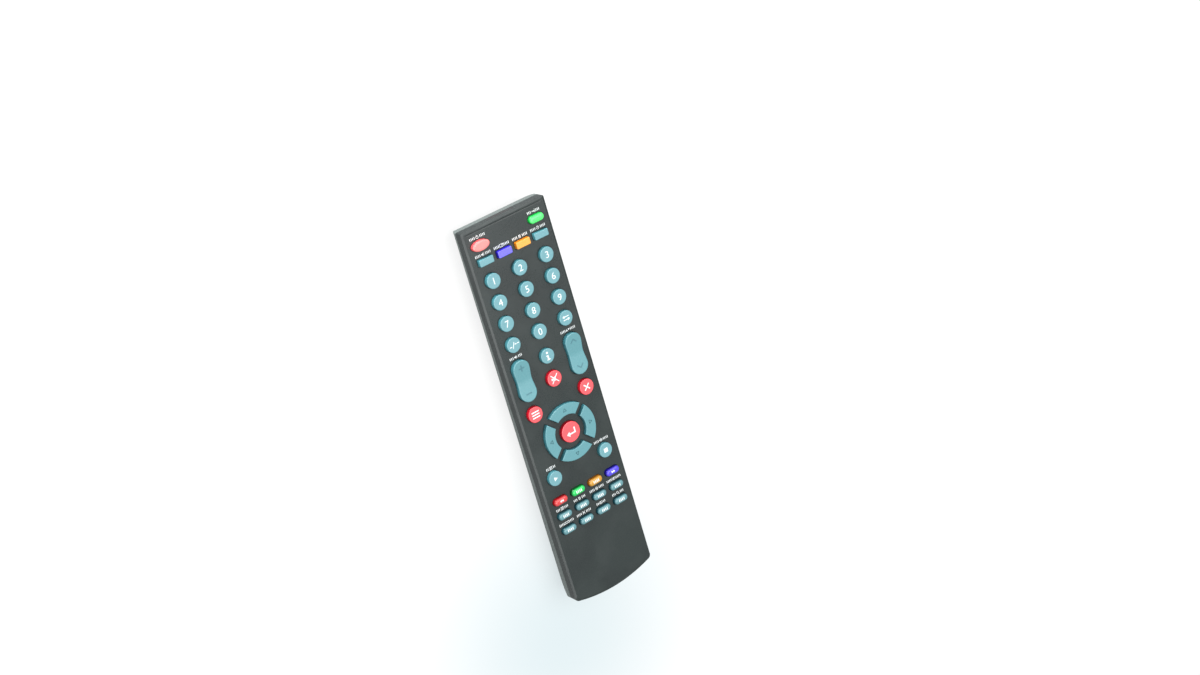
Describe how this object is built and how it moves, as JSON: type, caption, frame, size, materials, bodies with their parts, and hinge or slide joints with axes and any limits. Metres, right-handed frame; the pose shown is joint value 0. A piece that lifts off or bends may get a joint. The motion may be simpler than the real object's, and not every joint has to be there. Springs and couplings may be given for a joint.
{
  "type": "universal remote control",
  "caption": "Slim hand-held remote control with round, oval and bar keys, rockers, a direction ring and a sliding battery cover.",
  "frame": {"origin": "under the middle of the body, on the surface that the back rests on", "axes": "+Y towards the end that faces the television, +Z out of the key face, +X to the user's right"},
  "size_m": [0.05, 0.2116, 0.0215],
  "materials": {
    "case": "fine satin texture",
    "key_teal": "satin",
    "key_red": "satin",
    "key_salmon": "satin",
    "key_green": "satin",
    "key_amber": "satin",
    "key_blue": "satin",
    "window": "gloss, passes infrared",
    "board": "solder mask",
    "mat": "moulded silicone",
    "emitter": "tinted clear",
    "component": "moulded",
    "metal": "bright zinc",
    "cell_wrap": "plain printed sleeve"
  },
  "bodies": {
    "root": {"upper_shell": "case", "lower_shell": "case", "ir_window": "window", "circuit_board": "board", "key_mat": "mat", "ir_led": "emitter", "controller_chip": "component", "resonator": "metal", "capacitor": "component", "battery_cell_left": "cell_wrap", "battery_cell_right": "cell_wrap", "battery_springs": "metal", "contact_plates": "metal", "case_screws": "metal"},
    "battery_cover": {"battery_cover": "case"},
    "key_0": {"key_0": "key_teal"},
    "key_1": {"key_1": "key_teal"},
    "key_2": {"key_2": "key_teal"},
    "key_3": {"key_3": "key_teal"},
    "key_4": {"key_4": "key_teal"},
    "key_5": {"key_5": "key_teal"},
    "key_6": {"key_6": "key_teal"},
    "key_7": {"key_7": "key_teal"},
    "key_8": {"key_8": "key_teal"},
    "key_9": {"key_9": "key_teal"},
    "key_amber": {"key_amber": "key_amber"},
    "key_blue": {"key_blue": "key_blue"},
    "key_dash": {"key_dash": "key_teal"},
    "key_down": {"key_down": "key_teal"},
    "key_enter": {"key_enter": "key_red"},
    "key_exit": {"key_exit": "key_red"},
    "key_freeze": {"key_freeze": "key_amber"},
    "key_green": {"key_green": "key_green"},
    "key_info": {"key_info": "key_teal"},
    "key_input": {"key_input": "key_green"},
    "key_left": {"key_left": "key_teal"},
    "key_menu": {"key_menu": "key_red"},
    "key_mute": {"key_mute": "key_red"},
    "key_picture": {"key_picture": "key_blue"},
    "key_play": {"key_play": "key_teal"},
    "key_power": {"key_power": "key_salmon"},
    "key_red": {"key_red": "key_red"},
    "key_right": {"key_right": "key_teal"},
    "key_sleep": {"key_sleep": "key_teal"},
    "key_sound": {"key_sound": "key_teal"},
    "key_stop": {"key_stop": "key_teal"},
    "key_swap": {"key_swap": "key_teal"},
    "key_text_1a": {"key_text_1a": "key_teal"},
    "key_text_1b": {"key_text_1b": "key_teal"},
    "key_text_1c": {"key_text_1c": "key_teal"},
    "key_text_1d": {"key_text_1d": "key_teal"},
    "key_text_2a": {"key_text_2a": "key_teal"},
    "key_text_2b": {"key_text_2b": "key_teal"},
    "key_text_2c": {"key_text_2c": "key_teal"},
    "key_text_2d": {"key_text_2d": "key_teal"},
    "key_up": {"key_up": "key_teal"},
    "rocker_volume": {"rocker_volume": "key_teal"},
    "rocker_program": {"rocker_program": "key_teal"}
  },
  "joints": [
    {"name": "battery_cover_slide", "type": "slide", "parent": "root", "child": "battery_cover", "axis": [0, -1, 0], "range_m": [0, 0.08]},
    {"name": "key_0_press", "type": "slide", "parent": "root", "child": "key_0", "axis": [0, 0, -1], "range_m": [0, 0.0008], "stiffness_N_per_m": 1000},
    {"name": "key_1_press", "type": "slide", "parent": "root", "child": "key_1", "axis": [0, 0, -1], "range_m": [0, 0.0008], "stiffness_N_per_m": 1000},
    {"name": "key_2_press", "type": "slide", "parent": "root", "child": "key_2", "axis": [0, 0, -1], "range_m": [0, 0.0008], "stiffness_N_per_m": 1000},
    {"name": "key_3_press", "type": "slide", "parent": "root", "child": "key_3", "axis": [0, 0, -1], "range_m": [0, 0.0008], "stiffness_N_per_m": 1000},
    {"name": "key_4_press", "type": "slide", "parent": "root", "child": "key_4", "axis": [0, 0, -1], "range_m": [0, 0.0008], "stiffness_N_per_m": 1000},
    {"name": "key_5_press", "type": "slide", "parent": "root", "child": "key_5", "axis": [0, 0, -1], "range_m": [0, 0.0008], "stiffness_N_per_m": 1000},
    {"name": "key_6_press", "type": "slide", "parent": "root", "child": "key_6", "axis": [0, 0, -1], "range_m": [0, 0.0008], "stiffness_N_per_m": 1000},
    {"name": "key_7_press", "type": "slide", "parent": "root", "child": "key_7", "axis": [0, 0, -1], "range_m": [0, 0.0008], "stiffness_N_per_m": 1000},
    {"name": "key_8_press", "type": "slide", "parent": "root", "child": "key_8", "axis": [0, 0, -1], "range_m": [0, 0.0008], "stiffness_N_per_m": 1000},
    {"name": "key_9_press", "type": "slide", "parent": "root", "child": "key_9", "axis": [0, 0, -1], "range_m": [0, 0.0008], "stiffness_N_per_m": 1000},
    {"name": "key_amber_press", "type": "slide", "parent": "root", "child": "key_amber", "axis": [0, 0, -1], "range_m": [0, 0.0008], "stiffness_N_per_m": 1000},
    {"name": "key_blue_press", "type": "slide", "parent": "root", "child": "key_blue", "axis": [0, 0, -1], "range_m": [0, 0.0008], "stiffness_N_per_m": 1000},
    {"name": "key_dash_press", "type": "slide", "parent": "root", "child": "key_dash", "axis": [0, 0, -1], "range_m": [0, 0.0008], "stiffness_N_per_m": 1000},
    {"name": "key_down_press", "type": "slide", "parent": "root", "child": "key_down", "axis": [0, 0, -1], "range_m": [0, 0.0008], "stiffness_N_per_m": 1000},
    {"name": "key_enter_press", "type": "slide", "parent": "root", "child": "key_enter", "axis": [0, 0, -1], "range_m": [0, 0.0008], "stiffness_N_per_m": 1000},
    {"name": "key_exit_press", "type": "slide", "parent": "root", "child": "key_exit", "axis": [0, 0, -1], "range_m": [0, 0.0008], "stiffness_N_per_m": 1000},
    {"name": "key_freeze_press", "type": "slide", "parent": "root", "child": "key_freeze", "axis": [0, 0, -1], "range_m": [0, 0.0008], "stiffness_N_per_m": 1000},
    {"name": "key_green_press", "type": "slide", "parent": "root", "child": "key_green", "axis": [0, 0, -1], "range_m": [0, 0.0008], "stiffness_N_per_m": 1000},
    {"name": "key_info_press", "type": "slide", "parent": "root", "child": "key_info", "axis": [0, 0, -1], "range_m": [0, 0.0008], "stiffness_N_per_m": 1000},
    {"name": "key_input_press", "type": "slide", "parent": "root", "child": "key_input", "axis": [0, 0, -1], "range_m": [0, 0.0008], "stiffness_N_per_m": 1000},
    {"name": "key_left_press", "type": "slide", "parent": "root", "child": "key_left", "axis": [0, 0, -1], "range_m": [0, 0.0008], "stiffness_N_per_m": 1000},
    {"name": "key_menu_press", "type": "slide", "parent": "root", "child": "key_menu", "axis": [0, 0, -1], "range_m": [0, 0.0008], "stiffness_N_per_m": 1000},
    {"name": "key_mute_press", "type": "slide", "parent": "root", "child": "key_mute", "axis": [0, 0, -1], "range_m": [0, 0.0008], "stiffness_N_per_m": 1000},
    {"name": "key_picture_press", "type": "slide", "parent": "root", "child": "key_picture", "axis": [0, 0, -1], "range_m": [0, 0.0008], "stiffness_N_per_m": 1000},
    {"name": "key_play_press", "type": "slide", "parent": "root", "child": "key_play", "axis": [0, 0, -1], "range_m": [0, 0.0008], "stiffness_N_per_m": 1000},
    {"name": "key_power_press", "type": "slide", "parent": "root", "child": "key_power", "axis": [0, 0, -1], "range_m": [0, 0.0008], "stiffness_N_per_m": 1000},
    {"name": "key_red_press", "type": "slide", "parent": "root", "child": "key_red", "axis": [0, 0, -1], "range_m": [0, 0.0008], "stiffness_N_per_m": 1000},
    {"name": "key_right_press", "type": "slide", "parent": "root", "child": "key_right", "axis": [0, 0, -1], "range_m": [0, 0.0008], "stiffness_N_per_m": 1000},
    {"name": "key_sleep_press", "type": "slide", "parent": "root", "child": "key_sleep", "axis": [0, 0, -1], "range_m": [0, 0.0008], "stiffness_N_per_m": 1000},
    {"name": "key_sound_press", "type": "slide", "parent": "root", "child": "key_sound", "axis": [0, 0, -1], "range_m": [0, 0.0008], "stiffness_N_per_m": 1000},
    {"name": "key_stop_press", "type": "slide", "parent": "root", "child": "key_stop", "axis": [0, 0, -1], "range_m": [0, 0.0008], "stiffness_N_per_m": 1000},
    {"name": "key_swap_press", "type": "slide", "parent": "root", "child": "key_swap", "axis": [0, 0, -1], "range_m": [0, 0.0008], "stiffness_N_per_m": 1000},
    {"name": "key_text_1a_press", "type": "slide", "parent": "root", "child": "key_text_1a", "axis": [0, 0, -1], "range_m": [0, 0.0008], "stiffness_N_per_m": 1000},
    {"name": "key_text_1b_press", "type": "slide", "parent": "root", "child": "key_text_1b", "axis": [0, 0, -1], "range_m": [0, 0.0008], "stiffness_N_per_m": 1000},
    {"name": "key_text_1c_press", "type": "slide", "parent": "root", "child": "key_text_1c", "axis": [0, 0, -1], "range_m": [0, 0.0008], "stiffness_N_per_m": 1000},
    {"name": "key_text_1d_press", "type": "slide", "parent": "root", "child": "key_text_1d", "axis": [0, 0, -1], "range_m": [0, 0.0008], "stiffness_N_per_m": 1000},
    {"name": "key_text_2a_press", "type": "slide", "parent": "root", "child": "key_text_2a", "axis": [0, 0, -1], "range_m": [0, 0.0008], "stiffness_N_per_m": 1000},
    {"name": "key_text_2b_press", "type": "slide", "parent": "root", "child": "key_text_2b", "axis": [0, 0, -1], "range_m": [0, 0.0008], "stiffness_N_per_m": 1000},
    {"name": "key_text_2c_press", "type": "slide", "parent": "root", "child": "key_text_2c", "axis": [0, 0, -1], "range_m": [0, 0.0008], "stiffness_N_per_m": 1000},
    {"name": "key_text_2d_press", "type": "slide", "parent": "root", "child": "key_text_2d", "axis": [0, 0, -1], "range_m": [0, 0.0008], "stiffness_N_per_m": 1000},
    {"name": "key_up_press", "type": "slide", "parent": "root", "child": "key_up", "axis": [0, 0, -1], "range_m": [0, 0.0008], "stiffness_N_per_m": 1000},
    {"name": "rocker_volume_tip", "type": "hinge", "parent": "root", "child": "rocker_volume", "pos_m": [-0.0162, 0.02311, 0.01667], "axis": [1, 0, 0], "range_deg": [-4, 4], "stiffness_Nm_per_rad": 0.17},
    {"name": "rocker_program_tip", "type": "hinge", "parent": "root", "child": "rocker_program", "pos_m": [0.0162, 0.02311, 0.01667], "axis": [1, 0, 0], "range_deg": [-4, 4], "stiffness_Nm_per_rad": 0.17}
  ]
}
